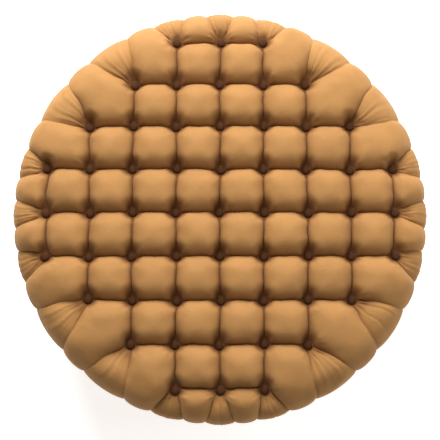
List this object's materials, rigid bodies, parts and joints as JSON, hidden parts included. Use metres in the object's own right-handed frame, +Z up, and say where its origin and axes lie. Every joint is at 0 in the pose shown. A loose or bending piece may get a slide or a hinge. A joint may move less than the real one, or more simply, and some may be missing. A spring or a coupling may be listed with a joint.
{
  "type": "storage ottoman",
  "caption": "Round velvet ottoman with a biscuit-tufted, button-studded lid that hinges up over a deep storage well, folding lid stays and low round feet.",
  "frame": {"origin": "on the floor, under the middle of the round seat", "axes": "+Z up; +Y towards the back, where the lid is hinged; -Y the front that opens; +X to the right seen from the front"},
  "size_m": [1, 1, 0.4296],
  "materials": {
    "velvet": "camel velvet with a short pile",
    "plywood": "unfinished birch plywood",
    "pine": "planed softwood",
    "hardboard": "smooth-faced hardboard",
    "lining_cloth": "woven charcoal lining cloth",
    "dust_cloth": "black spun-bonded dust cloth",
    "foam": "open-cell polyurethane foam",
    "wadding": "bonded polyester wadding",
    "twine": "waxed upholstery twine",
    "nickel_steel": "nickel-plated pressed steel",
    "zinc_steel": "bright zinc-plated steel",
    "black_plastic": "moulded black plastic, lightly textured",
    "black_rubber": "soft black rubber"
  },
  "bodies": {
    "base": {"bottom_panel": "plywood", "top_ring": "plywood", "hinge_block": "pine", "inner_liner": "hardboard", "outer_skin": "hardboard", "wall_lining": "lining_cloth", "floor_lining": "lining_cloth", "base_foam": "foam", "base_cover": "velvet", "base_buttons": "velvet", "base_button_twine": "twine", "dust_cover": "dust_cloth", "cover_staples": "zinc_steel", "foot_screws": "zinc_steel", "hinge_base_screws": "zinc_steel", "stay_base_screws": "zinc_steel", "stay_base_rivets": "nickel_steel", "frame_post_1": "pine", "frame_post_2": "pine", "frame_post_3": "pine", "frame_post_4": "pine", "frame_post_5": "pine", "frame_post_6": "pine", "foot_1": "black_plastic", "foot_2": "black_plastic", "foot_3": "black_plastic", "foot_4": "black_plastic", "foot_5": "black_plastic", "foot_6": "black_plastic", "bumper_1": "black_rubber", "bumper_2": "black_rubber", "bumper_3": "black_rubber", "bumper_4": "black_rubber", "hinge_left_base_leaf": "nickel_steel", "hinge_left_pin": "nickel_steel", "stay_left_base_bracket": "nickel_steel", "hinge_right_base_leaf": "nickel_steel", "hinge_right_pin": "nickel_steel", "stay_right_base_bracket": "nickel_steel"},
    "lid": {"lid_board": "plywood", "lid_foam": "foam", "lid_wadding": "wadding", "lid_cover": "velvet", "lid_buttons": "velvet", "lid_button_twine": "twine", "lid_twine_staples": "zinc_steel", "lid_lining": "lining_cloth", "hinge_lid_screws": "zinc_steel", "stay_lid_screws": "zinc_steel", "stay_lid_rivets": "nickel_steel", "hinge_left_lid_leaf": "nickel_steel", "stay_left_lid_bracket": "nickel_steel", "hinge_right_lid_leaf": "nickel_steel", "stay_right_lid_bracket": "nickel_steel"},
    "stay_left_lower": {"stay_left_lower_arm": "nickel_steel", "stay_left_elbow_rivet": "nickel_steel"},
    "stay_left_upper": {"stay_left_upper_arm": "nickel_steel"},
    "stay_right_lower": {"stay_right_lower_arm": "nickel_steel", "stay_right_elbow_rivet": "nickel_steel"},
    "stay_right_upper": {"stay_right_upper_arm": "nickel_steel"}
  },
  "joints": [
    {"name": "lid_hinge", "type": "hinge", "parent": "base", "child": "lid", "pos_m": [0, 0.456, 0.2649], "axis": [-1, 0, 0], "range_deg": [0, 85]},
    {"name": "stay_left_lower_pivot", "type": "hinge", "parent": "base", "child": "stay_left_lower", "pos_m": [-0.108, 0.3624, 0.1459], "axis": [-1, 0, 0], "range_deg": [0, 85]},
    {"name": "stay_left_elbow", "type": "hinge", "parent": "stay_left_lower", "child": "stay_left_upper", "pos_m": [-0.108, 0.21207, 0.1279], "axis": [-1, 0, 0], "range_deg": [-85, 0]},
    {"name": "stay_right_lower_pivot", "type": "hinge", "parent": "base", "child": "stay_right_lower", "pos_m": [0.108, 0.3624, 0.1459], "axis": [-1, 0, 0], "range_deg": [0, 85]},
    {"name": "stay_right_elbow", "type": "hinge", "parent": "stay_right_lower", "child": "stay_right_upper", "pos_m": [0.108, 0.21207, 0.1279], "axis": [-1, 0, 0], "range_deg": [-85, 0]}
  ],
  "couplings": [
    {"joint": "stay_left_lower_pivot", "follows": "lid_hinge", "ratio": 1},
    {"joint": "stay_left_elbow", "follows": "lid_hinge", "ratio": -1},
    {"joint": "stay_right_lower_pivot", "follows": "lid_hinge", "ratio": 1},
    {"joint": "stay_right_elbow", "follows": "lid_hinge", "ratio": -1}
  ]
}
